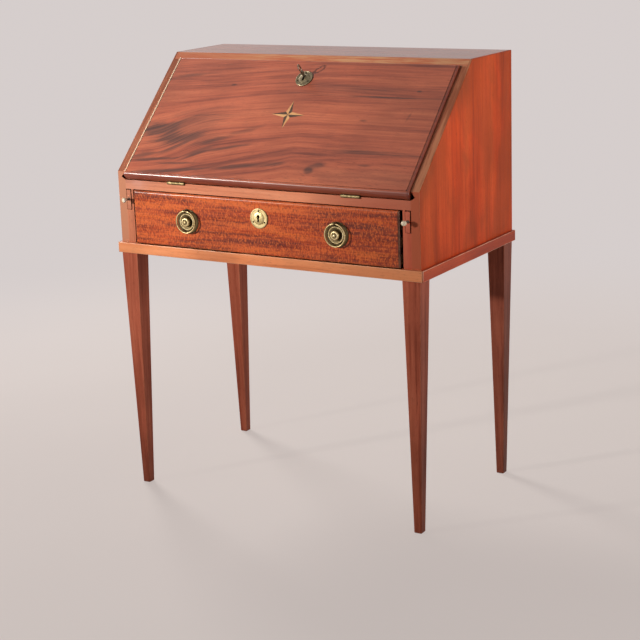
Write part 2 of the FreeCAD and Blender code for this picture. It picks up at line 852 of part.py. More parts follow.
def make_hinges():
    half = hinge_length / 2
    inner = half * middle_knuckle_share
    outer = [(-half, -inner - swing_gap), (inner + swing_gap, half)]
    middle = [(-inner, inner)]
    rail_leaf = hinge_leaf(rail_leaf_blank(), hinge_axis, outer, middle)
    fall_leaf = hinge_leaf(fall_leaf_blank(), Vector(0, 0, 0), middle, outer)
    rail_leaves = [cut_all(moved(rail_leaf, x), rail_screw_holes()) for x in hinge_places()]
    fall_leaves = [cut_all(moved(fall_leaf, x), fall_screw_holes()) for x in hinge_places()]
    pins = [moved(knuckle(-half, half, hinge_axis, hinge_pin_radius), x) for x in hinge_places()]
    save("rail_hinge_leaves", *rail_leaves)
    save("hinge_pins", *pins)
    save("fall_hinge_leaves", *[placed(leaf, fall_frame) for leaf in fall_leaves])
    save("rail_hinge_screws", *[screw(p, Vector(0, 0, -1)) for p in rail_screw_places()])
    save("fall_hinge_screws", *[placed(screw(p, Vector(0, -1, 0)), fall_frame) for p in fall_screw_places()])


def dovetails(x_low, x_high, low, high):
    """Tails on the front end of a drawer side, wider at their tips."""
    root = dovetail_root / 2
    tip = root + dovetail_flare
    tails = []
    for middle in middles(low, high, dovetail_count):
        outline = [
            (drawer_inner_y, middle - root), (drawer_inner_y - dovetail_length, middle - tip),
            (drawer_inner_y - dovetail_length, middle + tip), (drawer_inner_y, middle + root),
        ]
        tails.append(side_prism(outline, x_low, x_high))
    return tails


def make_drawer():
    front = block(-drawer_half, drawer_half, drawer_face_y, drawer_inner_y, drawer_bottom_z, drawer_top_z)
    front = rounded(front, drawer_edge_round, lambda p: at(p.y, drawer_face_y))

    # Sides with dovetails at the front, back between them, bottom in grooves
    side_low = drawer_half - drawer_side_thickness
    side_top = drawer_top_z - drawer_side_drop
    side = block(side_low, drawer_half, drawer_inner_y, drawer_end_y, drawer_run_z, side_top)
    for tail in dovetails(side_low, drawer_half, drawer_run_z + drawer_bottom_gap, side_top):
        side = side.fuse(tail)
    side = side.removeSplitter()
    bottom_low = drawer_run_z + drawer_bottom_rise
    bottom_half = side_low + drawer_groove
    bottom = block(
        -bottom_half, bottom_half, drawer_inner_y - drawer_groove, drawer_end_y,
        bottom_low, bottom_low + drawer_bottom_thickness,
    )
    back = block(
        -side_low, side_low, drawer_end_y - drawer_side_thickness, drawer_end_y,
        bottom_low + drawer_bottom_thickness, side_top,
    )
    side = side.cut(bottom)
    front = cut_all(front, [bottom, side, mirrored(side)])

    # Lock, keyhole, escutcheon and pulls
    lock_top = drawer_top_z
    front = front.cut(placed(lock_body(drawer_key_z, lock_top), drawer_frame))
    front = front.cut(placed(keyhole(drawer_key_z), drawer_frame))
    plate_y = -drawer_front_thickness
    for hole in pin_holes(drawer_escutcheon_radius, plate_y, drawer_plate_z):
        front = front.cut(placed(hole, drawer_frame))
    spindle_hole = rod(
        pull_spindle_radius + running_gap,
        Vector(pull_offset, drawer_face_y - overrun, drawer_middle_z),
        Vector(pull_offset, drawer_inner_y + overrun, drawer_middle_z),
    )
    front = cut_all(front, [spindle_hole, mirrored(spindle_hole)])
    save("drawer_front", front)
    save("drawer_right_side", side)
    save("drawer_left_side", mirrored(side))
    save("drawer_back", back)
    save("drawer_bottom", bottom)
    plate = escutcheon(drawer_escutcheon_radius, plate_y, drawer_plate_z)
    save("drawer_escutcheon", placed(plate, drawer_frame))
    pins = escutcheon_pins(drawer_escutcheon_radius, plate_y, drawer_plate_z)
    save("drawer_escutcheon_pins", *[placed(pin, drawer_frame) for pin in pins])
    save("drawer_lock_case", placed(lock_case(drawer_key_z, lock_top), drawer_frame))
    save("drawer_lock_bolt", placed(lock_bolt(drawer_key_z, lock_top), drawer_frame))
    make_pulls()


def make_pulls():
    """The right-hand pull: turned plate with a lug and a spindle, nut inside the drawer, hanging ring."""
    face = Vector(pull_offset, drawer_face_y, drawer_middle_z)
    plate = moved(turned(pull_plate_shares, pull_plate_radius, pull_reach), face.x, face.y, face.z)
    spindle_end = drawer_inner_y + pull_spindle_spare
    spindle = rod(pull_spindle_radius, face, Vector(face.x, spindle_end, face.z))
    lug_half = pull_lug_width / 2
    end_turn = math.asin((lug_half + swing_gap) / (pull_ring_radius - pull_ring_bar))
    pivot = face + Vector(0, -pull_ring_stand, pull_ring_radius * math.cos(end_turn))
    lug = block(
        face.x - lug_half, face.x + lug_half, pivot.y, face.y,
        pivot.z - pull_lug_height / 2, pivot.z + pull_lug_height / 2,
    )
    across = Vector(lug_half, 0, 0)
    lug = lug.fuse(rod(pull_lug_height / 2, pivot - across, pivot + across))
    hole = rod(pull_pin_radius + running_gap, pivot - across * 2, pivot + across * 2)
    save_pair("pull_plate", plate.fuse(spindle).fuse(lug).removeSplitter().cut(hole))

    nut_low = Vector(face.x, drawer_inner_y, face.z)
    nut = rod(pull_nut_radius, nut_low, nut_low + Vector(0, pull_nut_height, 0))
    nut_bore = Vector(0, pull_nut_height + overrun, 0)
    nut = nut.cut(rod(pull_spindle_radius + running_gap, nut_low - nut_bore, nut_low + nut_bore))
    save("pull_nuts", nut, mirrored(nut))

    centre = face + Vector(0, -pull_ring_stand, 0)
    top = centre + Vector(pull_ring_radius * math.sin(end_turn), 0, pull_ring_radius * math.cos(end_turn))
    way = Vector(math.cos(end_turn), 0, -math.sin(end_turn))
    bar = Part.Face(Part.Wire(Part.makeCircle(pull_ring_bar, top, way)))
    ring = bar.revolve(centre, Vector(0, 1, 0), full_turn - 2 * math.degrees(end_turn))
    pin_half = Vector(top.x - face.x, 0, 0)
    pin = rod(pull_pin_radius, pivot - pin_half, pivot + pin_half)
    save_pair("pull_ring", ring.fuse(pin).removeSplitter())


def make_small_drawers():
    """The right-hand small drawer of the gallery: front, two sides, back and bottom, with a knob."""
    x_low = small_bay_half + gallery_board + slide_gap
    x_high = inner_half - slide_gap
    z_low = writing_height + slide_gap
    z_high = shelf_bottom_z - slide_gap
    y_front = gallery_front_y
    y_inner = y_front + small_front_thickness
    y_back = back_inner_y - small_drawer_back_gap
    front = block(x_low, x_high, y_front, y_inner, z_low, z_high)
    front = rounded(front, edge_round, lambda p: at(p.y, y_front))
    near_side = block(x_low, x_low + small_wall, y_inner, y_back, z_low, z_high)
    far_side = block(x_high - small_wall, x_high, y_inner, y_back, z_low, z_high)
    inside_low = x_low + small_wall
    inside_high = x_high - small_wall
    bottom = block(inside_low, inside_high, y_inner, y_back, z_low, z_low + small_bottom)
    back = block(inside_low, inside_high, y_back - small_wall, y_back, z_low + small_bottom, z_high)
    knob_x = (x_low + x_high) / 2
    knob_z = (z_low + z_high) / 2
    front = front.cut(moved(knob_hole(), knob_x, y_front, knob_z))
    pieces = [front, near_side, far_side, back, bottom]
    save("right_small_drawer", *pieces)
    save("left_small_drawer", *[mirrored(p) for p in pieces])
    small_knob = knob(small_knob_shares, small_knob_radius, small_knob_reach)
    save_pair("small_drawer_knob", moved(small_knob, knob_x, y_front, knob_z))


os.makedirs("parts", exist_ok=True)
make_case()
make_base()
make_stiles_and_lopers()
make_fall()
make_hinges()
make_drawer()
make_small_drawers()
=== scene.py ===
import json
import math

import bpy
from mathutils import Matrix, Vector


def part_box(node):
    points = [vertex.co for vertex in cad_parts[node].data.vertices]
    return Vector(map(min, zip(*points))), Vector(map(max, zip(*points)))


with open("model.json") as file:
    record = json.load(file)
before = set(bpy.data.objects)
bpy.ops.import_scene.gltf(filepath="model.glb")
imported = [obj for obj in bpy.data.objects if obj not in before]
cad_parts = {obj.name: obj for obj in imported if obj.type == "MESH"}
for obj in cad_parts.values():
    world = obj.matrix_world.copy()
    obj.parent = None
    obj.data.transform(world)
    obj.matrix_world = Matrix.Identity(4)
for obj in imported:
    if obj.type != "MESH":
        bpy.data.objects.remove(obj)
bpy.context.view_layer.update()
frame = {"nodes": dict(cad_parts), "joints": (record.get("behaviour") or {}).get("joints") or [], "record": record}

# Looks of a slant-front mahogany writing desk. Lengths are in metres, in the frame of the CAD model.

nodes = frame["nodes"]
joints = {joint["name"]: joint for joint in frame["joints"]}

# Camera, at the place from which the desk was photographed
camera_place = (1.85459, -3.00660, 1.30121)
camera_right = (0.85615601, 0.51560739, -0.0338513)
camera_up = (-0.10292912, 0.23437757, 0.96668131)
camera_back = (0.50636201, -0.82414572, 0.25373478)
camera_lens = 91.67
camera_sensor = 36.0

# Studio: a beam from the front left, soft lamps on the right and high on the left, an even fill, a pale floor
key_place = (-1.88, -2.45, 1.26)
key_target = (-0.22, -0.21, 0.82)
key_size = 0.13
key_spread = 34.0
key_power = 3.3
key_colour = (1.0, 0.95, 0.88)
side_place = (1.75, -0.1, 0.72)
side_target = (0.37, -0.02, 0.95)
side_size = 0.6
side_spread = 56.0
side_power = 1.5
side_colour = (1.0, 0.97, 0.94)
high_place = (-2.3, 1.35, 2.3)
high_target = (0.0, 0.0, 0.3)
high_size = 0.9
high_spread = 180.0
high_power = 55.0
high_colour = (1.0, 0.97, 0.94)
fill_strength = 0.18
fill_colour = (1.0, 0.98, 0.97)
backdrop_colour = (0.67, 0.615, 0.605)
floor_colour = (0.70, 0.645, 0.615)
floor_glow_colour = (0.80, 0.71, 0.675)
floor_glow_share = 0.6
floor_cloud_scale = 1.5
floor_cloud_shares = (0.3, 0.7, 0.97, 1.03)
floor_rough_share = 0.75
floor_shine_share = 0.2
floor_radius = 9.0
floor_fade_start = 0.8
floor_fade_end = 2.6
floor_sides = 96

# Places of pieces that the materials need
hinge_place = joints["fall_hinge"]["pos_m"]
fall_up = joints["fall_bolt_slide"]["axis"]
quarter_turn = math.pi / 2
fall_lean = math.atan2(fall_up[2], fall_up[1]) - quarter_turn
along_y = (0, 0, quarter_turn)
along_z = (0, quarter_turn, 0)
front_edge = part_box("right_side_panel")[0][1]
rail_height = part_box("front_rail")[1][2]
top_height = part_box("top_board")[1][2]
top_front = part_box("top_board")[0][1]
slope_edge = top_height * fall_up[1] - top_front * fall_up[2]
pull_low, pull_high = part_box("right_pull_plate")
pull_radius = (pull_high[0] - pull_low[0]) / 2
pull_x = (pull_high[0] + pull_low[0]) / 2
pull_z = pull_low[2] + pull_radius


def srgb(red, green, blue):
    """A colour as it is seen on a screen, from 0 to 255, as linear light."""
    linear = []
    for value in (red / 255, green / 255, blue / 255):
        linear.append(value / 12.92 if value <= 0.04045 else ((value + 0.055) / 1.055) ** 2.4)
    return (*linear, 1.0)


# Wood in general. A noise scale is given per metre along, across and through the grain.
grain_wave = 0.012
noise_middle = (0.5, 0.5, 0.5)
drift_scale = (2.2, 5, 5)
pore_scale = (75, 1150, 1150)
cloud_scale = 6.5
rub_scale = 38
band_share = 0.62
line_share = 0.38
tone_spread_share = 0.17
middle_tone_share = 0.42
cloud_shares = (0.3, 0.7, 0.84, 1.12)
pore_shares = (0.6, 0.74)
pore_dark_share = 0.4
pore_colour_shares = (0.5, 0.45, 0.45)
rub_shares = (0.36, 0.66)
rub_low_share = 0.3
edge_shares = (0.99, 0.9)
gloss_shares = (0.25, 0.75)
gloss_less_share = 0.05
gloss_more_share = 0.08
line_height_share = 0.35
wood_bump_share = 0.12
wood_bump_depth = 0.0004
coat_rough_share = 0.16

# Painted shade in the narrow gaps between pieces, where little of the surroundings is seen: the wood is darkened
# towards near-black there
gap_depth = 0.014
gap_shade_start_share = 0.4
gap_shade_full_share = 0.16
gap_painted_shade = srgb(26, 14, 9)

# The fall: its grain rises from the lower left, where the dark figure lies, and then runs level
fall_frame = {"place": hinge_place, "turn": (fall_lean, 0, 0)}
grain_turn_x = 0.05
grain_rise = 0.1
grain_rise_more = 0.12
grain_rise_height = 0.1
grain_rise_spread = 0.075
swirl_start_x = -0.315
swirl_end_x = -0.165
swirl_rise = 0.048

# Marks on the fall: place across and up, half length, half height, tilt in degrees, strength
fall_marks = {
    "flame shade": (-0.262, 0.122, 0.105, 0.0390, 9, 0.42),
    "flame": (-0.305, 0.130, 0.052, 0.0215, 5, 1.0),
    "flame foot": (-0.270, 0.106, 0.040, 0.0170, 12, 1.0),
    "flame tip": (-0.222, 0.110, 0.034, 0.0115, 24, 1.0),
    "flame tail": (-0.163, 0.104, 0.046, 0.0075, 17, 0.9),
    "flame root": (-0.251, 0.080, 0.042, 0.0060, 30, 0.8),
    "rising streak": (-0.190, 0.069, 0.040, 0.0085, 27, 0.9),
    "rising tail": (-0.122, 0.087, 0.060, 0.0046, 13, 0.85),
    "left streak": (-0.322, 0.057, 0.034, 0.0066, 13, 0.75),
    "low left streak": (-0.283, 0.048, 0.068, 0.0034, 7, 0.85),
    "short streak": (-0.221, 0.041, 0.060, 0.0032, 4, 0.85),
    "foot streak": (-0.231, 0.021, 0.080, 0.0046, 7, 0.9),
    "low streak": (-0.067, 0.042, 0.085, 0.0052, 8, 0.8),
    "low block": (0.019, 0.055, 0.020, 0.0048, 7, 0.6),
    "purple cloud": (-0.212, 0.170, 0.085, 0.0230, 10, 0.36),
    "upper streak": (-0.083, 0.139, 0.046, 0.0062, 22, 0.45),
    "high dash": (-0.288, 0.283, 0.056, 0.0055, 8, 0.65),
    "left knot": (-0.172, 0.259, 0.008, 0.0030, 6, 0.95),
    "middle line": (-0.205, 0.173, 0.060, 0.0020, 4, 0.5),
    "right crack": (0.242, 0.239, 0.090, 0.0024, 0, 1.0),
    "middle crack": (0.055, 0.242, 0.090, 0.0014, -1, 0.45),
    "right knot": (0.287, 0.2575, 0.006, 0.0028, 0, 0.9),
    "small dash": (0.186, 0.177, 0.010, 0.0028, 0, 0.7),
    "upright dash": (0.287, 0.194, 0.0025, 0.014, -12, 0.4),
    "dark band": (0.240, 0.096, 0.085, 0.0060, -1, 0.7),
    "low knot": (0.107, 0.044, 0.009, 0.0075, 4, 0.85),
    "low knot shade": (0.126, 0.060, 0.018, 0.0075, 10, 0.75),
    "low dash": (0.232, 0.065, 0.014, 0.0030, 0, 0.65),
    "purple band": (0.150, 0.259, 0.110, 0.0100, -2, 0.35),
    "purple foot": (0.235, 0.034, 0.130, 0.0260, 0, 0.3),
}
mark_fray = 2.6
mark_outer = 1.45
mark_inner = 0.35
fall_edge_x = 0.3485
fall_bead_x = 0.3478
# Painted light on the fall's edges: painted shade on the nose along the foot and on the right bead, and a painted
# highlight on the left bead
nose_shade_top = 0.0085
nose_shade_low = 0.0055
fray_scale = (8, 105, 105)
streaky_shares = (0.3, 0.7, 1.08, 0.72)
nose_soft = 0.003
nose_shade_share = 0.65
right_bead_shade_soft = 0.0008
right_bead_shade_share = 0.6
left_bead_highlight_soft = 0.002
left_bead_highlight_share = 0.75
fall_grain_wave = 0.010
inlay_grain_wave = 0.002

# The drawer front: level streaks, a fine ripple across them, and painted shade on its right end, which faces away
# from the lamp
drawer_grain_wave = 0.004
drawer_wide_scale = (4, 62, 62)
drawer_thin_scale = (9, 190, 190)
drawer_ripple_scale = (360, 190, 190)
drawer_wide_share = 0.65
drawer_thin_share = 0.35
drawer_gloom_shares = (0.49, 0.6, 0.0, 0.72)
drawer_glow_shares = (0.5, 0.4, 0.0, 0.65)
ripple_light_shares = (0.5, 0.63, 0.0, 0.6)
ripple_dark_shares = (0.48, 0.35, 0.0, 0.5)
# Painted shade on the drawer's rounded right end
drawer_end_band = 0.0045
drawer_end_soft = 0.002
drawer_end_shade_share = 0.95
drawer_end_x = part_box("drawer_front")[1][0] - drawer_end_band

# The front rail and the front edge of the top, with places across the desk where their colour changes
rail_red_start = 0.02
rail_red_end = 0.3
rail_red_share = 0.75
rail_pink_start = -0.25
rail_pink_end = -0.34
rail_patch_scale = 30
rail_patch_shares = (0.4, 0.65, 0.2, 0.6)
top_slope_shares = (0.5, 0.65)
edge_streak_scale = (9, 130, 130)
edge_streak_shares = (0.38, 0.62)
edge_red_start = 0.0
edge_red_end = -0.3
edge_red_share = 0.75

# The side panels: clouds and hair lines on the face, and streaks on the sloping edge
side_cloud_scale = (8, 8, 3)
side_cloud_shares = (0.42, 0.62, 0.1, 0.6)
side_patch_scale = (9, 9, 3.4)
side_patch_shares = (0.46, 0.64, 0.0, 0.35)
side_hair_scale = (420, 420, 5)
side_hair_shares = (0.6, 0.7, 0.0, 0.35)
slope_brown_start = 0.07
slope_brown_end = 0.01
front_brown_start = 0.03
front_brown_end = 0.005
middle_soft = 0.01
slope_streak_scale = (160, 12, 12)
slope_streak_shares = (0.44, 0.72, 0.0, 0.8)
slope_red_more_share = 0.16
slope_face_shares = (0.5, 0.68, 0.0, 0.92)
upright_face_shares = (0.86, 0.97, 0.0, 0.95)

# Grime on a pull's plate, from its middle outwards: place as a share of the radius, and amount
pull_grime_shares = [
    (0.0, 0.0), (0.1, 0.0), (0.115, 0.85), (0.195, 0.85), (0.23, 0.0), (0.34, 0.1), (0.36, 0.95), (0.48, 1.0),
    (0.52, 0.1), (0.64, 0.0), (0.67, 0.7), (0.7, 1.0), (0.98, 1.0), (1.0, 0.8),
]

# Metals and bone
metal_cloud_scale = 170
metal_spot_scale = 900
tarnish_shares = (0.36, 0.68)
hollow_shares = (0.85, 0.35, 0.0, 0.9)
spot_shares = (0.66, 0.78, 0.0, 0.4)
ring_grime_share = 0.92
metal_gloss_shares = (0.3, 0.7)
metal_gloss_less_share = 0.07
metal_gloss_more_share = 0.13
metal_bump_share = 0.08
metal_bump_depth = 0.0003
deep_recess = 0.006
fine_recess = 0.004
loper_ball_depth = 0.0095
bone_cloud_scale = 220
bone_streak_scale = (2600, 300, 2600)
bone_cloud_shares = (0.35, 0.7)
bone_streak_shares = (0.62, 0.74, 0.0, 0.5)
bone_gloss_shares = (0.3, 0.7, 0.22, 0.36)
bone_foot_soft = 0.001
bone_foot_share = 0.9
bone_bump_share = 0.05
bone_bump_depth = 0.0003
bone_glow_share = 0.1
bone_glow_depths = (0.003, 0.002, 0.001)
bone_tone = srgb(244, 232, 210)
bone_light = srgb(248, 238, 218)
bone_dark = srgb(232, 214, 180)
bone_streak = srgb(168, 140, 98)
bone_foot = srgb(58, 36, 22)

# Colours of the woods: dark, middle, light, worn
# The fall's fourth, palest tone serves as the painted highlight on its left bead
fall_tones = (srgb(128, 62, 46), srgb(182, 92, 64), srgb(210, 116, 80), srgb(250, 222, 186))
fall_dark_figure = srgb(88, 52, 43)
# Painted shade on the fall's nose and right edge, which face away from the lamp
fall_edge_shade_red = srgb(104, 40, 30)
drawer_tones = (srgb(128, 42, 22), srgb(184, 72, 34), srgb(208, 98, 48), srgb(222, 150, 110))
drawer_fleck = srgb(228, 112, 50)
drawer_gloom = srgb(84, 32, 28)
drawer_end_painted_shade = srgb(20, 9, 6)
rail_tones = (srgb(166, 90, 60), srgb(220, 134, 94), srgb(240, 158, 116), srgb(250, 206, 170))
rail_red = srgb(168, 72, 46)
rail_pink = srgb(206, 152, 140)
mould_tones = (srgb(174, 94, 54), srgb(228, 136, 84), srgb(246, 160, 106), srgb(252, 204, 164))
# The right side panel's tones are raised to stand in for light it lacks (painted light); the left side panel and
# left moulding take darker, duller tones to offset the high lamp (painted shade)
right_side_brightened_tones = (srgb(132, 40, 18), srgb(204, 76, 36), srgb(226, 100, 52), srgb(250, 206, 176))
left_side_darkened_tones = (srgb(92, 36, 22), srgb(140, 62, 40), srgb(162, 80, 54), srgb(222, 170, 140))
moulding_side_tones = (srgb(116, 38, 20), srgb(184, 70, 38), srgb(206, 92, 54), srgb(250, 206, 176))
side_brown = srgb(136, 68, 36)
edge_tan_left = srgb(198, 134, 104)
edge_tan_right = srgb(182, 92, 64)
slope_tan_left = srgb(178, 112, 86)
slope_tan_right = srgb(206, 140, 106)
slope_red = srgb(150, 84, 62)
edge_orange = srgb(198, 104, 62)
edge_pale = srgb(218, 156, 108)
left_stile_tones = (srgb(156, 82, 56), srgb(196, 116, 82), srgb(212, 138, 102), srgb(236, 180, 150))
right_stile_tones = (srgb(146, 58, 38), srgb(186, 84, 56), srgb(202, 104, 74), srgb(226, 150, 120))
leg_tones = (srgb(122, 54, 38), srgb(180, 92, 68), srgb(206, 118, 90), srgb(226, 150, 112))
# Darker tones for the back right leg: painted shade for the shadow it stands in
back_leg_shaded_tones = (srgb(96, 44, 32), srgb(144, 76, 58), srgb(172, 98, 76), srgb(200, 132, 100))
top_tones = (srgb(116, 62, 46), srgb(156, 86, 64), srgb(180, 106, 80), srgb(226, 160, 112))
plain_tones = (srgb(132, 66, 44), srgb(176, 98, 66), srgb(198, 120, 84), srgb(220, 160, 124))
inner_tones = (srgb(150, 108, 70), srgb(186, 144, 100), srgb(206, 168, 122), srgb(214, 180, 138))
light_tones = (srgb(206, 140, 84), srgb(240, 178, 116), srgb(250, 198, 138), srgb(250, 200, 140))
dark_tones = (srgb(62, 42, 28), srgb(88, 62, 42), srgb(108, 78, 52), srgb(110, 80, 56))


class Tree:
    """Builds the nodes of one material."""

    def __init__(self, name, colour):
        self.material = bpy.data.materials.new(name)
        self.material.use_nodes = True
        self.material.diffuse_color = colour
        self.nodes = self.material.node_tree.nodes
        self.links = self.material.node_tree.links
        self.shader = self.nodes["Principled BSDF"]
        self.shader.inputs["Base Color"].default_value = colour

    def add(self, kind, inputs, **settings):
        node = self.nodes.new(kind)
        for key, value in settings.items():
            setattr(node, key, value)
        for key, value in inputs.items():
            if isinstance(value, bpy.types.NodeSocket):
                self.links.new(value, node.inputs[key])
            else:
                node.inputs[key].default_value = value
        return node

    def coordinates(self, place=(0, 0, 0), turn=(0, 0, 0)):
        """Object coordinates, as seen from a frame at this place and turn."""
        source = self.add("ShaderNodeTexCoord", {}).outputs["Object"]
        inputs = {"Vector": source, "Location": place, "Rotation": turn}
        return self.add("ShaderNodeMapping", inputs, vector_type="TEXTURE").outputs["Vector"]

    def stretched(self, vector, scale):
        return self.add("ShaderNodeMapping", {"Vector": vector, "Scale": scale}).outputs["Vector"]

    def noise(self, vector, scale=1.0, detail=3.0, rough=0.5, distortion=0.0):
        inputs = {
            "Vector": vector, "Scale": scale, "Detail": detail, "Roughness": rough, "Distortion": distortion,
        }
        return self.add("ShaderNodeTexNoise", inputs).outputs

    def math(self, operation, first, second=0.0, clamp=False):
        inputs = {0: first, 1: second}
        return self.add("ShaderNodeMath", inputs, operation=operation, use_clamp=clamp).outputs[0]

    def vector(self, operation, first, second):
        return self.add("ShaderNodeVectorMath", {0: first, 1: second}, operation=operation).outputs[0]

    def length(self, vector):
        return self.add("ShaderNodeVectorMath", {0: vector}, operation="LENGTH").outputs["Value"]

    def remap(self, value, low, high, to_low=0.0, to_high=1.0, smooth=True):
        inputs = {"Value": value, "From Min": low, "From Max": high, "To Min": to_low, "To Max": to_high}
        kind = "SMOOTHSTEP" if smooth else "LINEAR"
        return self.add("ShaderNodeMapRange", inputs, interpolation_type=kind).outputs["Result"]

    def ramp(self, value, stops):
        node = self.add("ShaderNodeValToRGB", {"Fac": value})
        elements = node.color_ramp.elements
        while len(elements) < len(stops):
            elements.new(1.0)
        for element, (place, colour) in zip(elements, stops):
            element.position = place
            element.color = colour
        return node.outputs["Color"]

    def mix(self, share, first, second, blend="MIX"):
        inputs = {"Factor": share, "A": first, "B": second}
        node = self.nodes.new("ShaderNodeMix")
        node.data_type = "RGBA"
        node.blend_type = blend
        sockets = {"Factor": node.inputs[0], "A": node.inputs[6], "B": node.inputs[7]}
        for key, value in inputs.items():
            if isinstance(value, bpy.types.NodeSocket):
                self.links.new(value, sockets[key])
            else:
                sockets[key].default_value = value
        return node.outputs[2]

    def parts(self, vector):
        return self.add("ShaderNodeSeparateXYZ", {"Vector": vector}).outputs

    def joined(self, x, y, z):
        return self.add("ShaderNodeCombineXYZ", {"X": x, "Y": y, "Z": z}).outputs["Vector"]

    def facing(self, turn=(0, 0, 0)):
        """How far the surface faces along each axis of a turned frame, as three numbers from 0 to 1."""
        normal = self.add("ShaderNodeTexCoord", {}).outputs["Normal"]
        inputs = {"Vector": normal, "Rotation": turn}
        normal = self.add("ShaderNodeMapping", inputs, vector_type="TEXTURE").outputs["Vector"]
        return self.parts(self.add("ShaderNodeVectorMath", {0: normal}, operation="ABSOLUTE").outputs[0])

    def edge_mask(self, turn=(0, 0, 0)):
        """The rounded edges of a squared piece, where the surface faces along none of its axes."""
        x, y, z = self.facing(turn)
        most = self.math("MAXIMUM", self.math("MAXIMUM", x, y), z)
        return self.remap(most, *edge_shares)

    def put(self, name, socket):
        self.links.new(socket, self.shader.inputs[name])

    def bump(self, height, strength, distance):
        inputs = {"Height": height, "Strength": strength, "Distance": distance}
        self.put("Normal", self.add("ShaderNodeBump", inputs).outputs["Normal"])


def set_polish(tree, coat, coat_rough, shine):
    tree.shader.inputs["Coat Weight"].default_value = coat
    tree.shader.inputs["Coat Roughness"].default_value = coat_rough
    tree.shader.inputs["Specular IOR Level"].default_value = shine


def wood(
    name, tones, place=(0, 0, 0), turn=(0, 0, 0), band_scale=(1.6, 34, 34), line_scale=(5, 170, 170),
    wave=grain_wave, contrast=1.0, polish=0.1, shine=0.35, rough=0.36, worn=0.0,
    bend=None, marks=None, finish=None,
):
    """Polished wood whose grain runs along X of the frame given. tones are dark, middle, light and worn."""
    dark, middle, light, pale = tones
    tree = Tree(name, middle)
    raw = tree.coordinates(place, turn)
    grain = bend(tree, raw) if bend else raw
    drift = tree.noise(tree.stretched(grain, drift_scale), detail=2)["Color"]
    drift = tree.vector("SUBTRACT", drift, noise_middle)
    drift = tree.vector("MULTIPLY", drift, (0, wave * 2, wave * 2))
    grain = tree.vector("ADD", grain, drift)

    bands = tree.noise(tree.stretched(grain, band_scale), detail=5, rough=0.6)["Fac"]
    lines = tree.noise(tree.stretched(grain, line_scale), detail=4, rough=0.6)["Fac"]
    pores = tree.noise(tree.stretched(grain, pore_scale), detail=1)["Fac"]
    cloud = tree.noise(raw, scale=cloud_scale, detail=3)["Fac"]
    figure = tree.math("MULTIPLY", bands, band_share)
    figure = tree.math("ADD", figure, tree.math("MULTIPLY", lines, line_share))
    spread = tone_spread_share / contrast
    level = tree.remap(figure, noise_middle[0] - spread, noise_middle[0] + spread, smooth=False)
    colour = tree.ramp(level, [(0.0, dark), (middle_tone_share, middle), (1.0, light)])
    shade = tree.remap(cloud, *cloud_shares)
    colour = tree.mix(1.0, colour, tree.joined(shade, shade, shade), "MULTIPLY")
    pore = tree.remap(pores, *pore_shares)
    pore_colour = [value * share for value, share in zip(dark, pore_colour_shares)]
    colour = tree.mix(tree.math("MULTIPLY", pore, pore_dark_share), colour, (*pore_colour, 1))
    if marks:
        colour = marks(tree, raw, grain, lines, colour)
    if finish:
        colour = finish(tree, raw, grain, colour)
    # Painted shade: the wood darkens towards near-black in narrow gaps, found by ambient occlusion
    gap = tree.add("ShaderNodeAmbientOcclusion", {"Distance": gap_depth}, samples=6).outputs["AO"]
    colour = tree.mix(tree.remap(gap, gap_shade_start_share, gap_shade_full_share), colour, gap_painted_shade)
    if worn:
        rub = tree.edge_mask(turn)
        patch = tree.noise(raw, scale=rub_scale, detail=4)["Fac"]
        patch = tree.remap(patch, *rub_shares, worn * rub_low_share, worn)
        colour = tree.mix(tree.math("MULTIPLY", rub, patch), colour, pale)
    tree.put("Base Color", colour)
    gloss = tree.remap(lines, *gloss_shares, rough - gloss_less_share, rough + gloss_more_share)
    tree.put("Roughness", gloss)
    height = tree.math("SUBTRACT", tree.math("MULTIPLY", lines, line_height_share), pore)
    tree.bump(height, wood_bump_share, wood_bump_depth)
    set_polish(tree, polish, coat_rough_share, shine)
    return tree.material


def fall_bend(tree, raw):
    """Tilts the grain on the left of the fall, most of all at the height of the dark figure."""
    x, y, z = tree.parts(raw)
    side = tree.math("MAXIMUM", tree.math("SUBTRACT", grain_turn_x, x), 0.0)
    offset = tree.math("DIVIDE", tree.math("SUBTRACT", z, grain_rise_height), grain_rise_spread)
    bell = tree.math("EXPONENT", tree.math("MULTIPLY", tree.math("MULTIPLY", offset, offset), -1.0))
    rise = tree.math("ADD", grain_rise, tree.math("MULTIPLY", bell, grain_rise_more))
    level = tree.math("ADD", z, tree.math("MULTIPLY", rise, side))
    swirl = tree.remap(x, swirl_start_x, swirl_end_x, 0.0, swirl_rise)
    level = tree.math("SUBTRACT", level, tree.math("MULTIPLY", swirl, bell))
    return tree.joined(x, y, level)


def fall_marking(tree, raw, grain, lines, colour):
    """Darkens the wood at the marks. Their edges fray into streaks along the grain."""
    streak = tree.noise(tree.stretched(grain, fray_scale), detail=5, rough=0.62)["Fac"]
    fray = tree.math("MULTIPLY", tree.math("SUBTRACT", streak, noise_middle[0]), mark_fray)
    x, y, z = tree.parts(raw)
    flat = tree.joined(x, 0.0, z)
    clear = None
    for across, up, half_long, half_high, tilt, strength in fall_marks.values():
        inputs = {
            "Vector": flat, "Location": (across, 0, up), "Rotation": (0, -math.radians(tilt), 0),
            "Scale": (half_long, 1, half_high),
        }
        near = tree.add("ShaderNodeMapping", inputs, vector_type="TEXTURE").outputs["Vector"]
        reach = tree.math("ADD", tree.length(near), fray)
        left = tree.remap(reach, mark_outer, mark_inner, 1.0, 1.0 - strength)
        clear = left if clear is None else tree.math("MULTIPLY", clear, left)
    shade = tree.math("SUBTRACT", 1.0, clear)
    streaky = tree.remap(lines, *streaky_shares)
    return tree.mix(tree.math("MULTIPLY", shade, streaky, clamp=True), colour, fall_dark_figure)


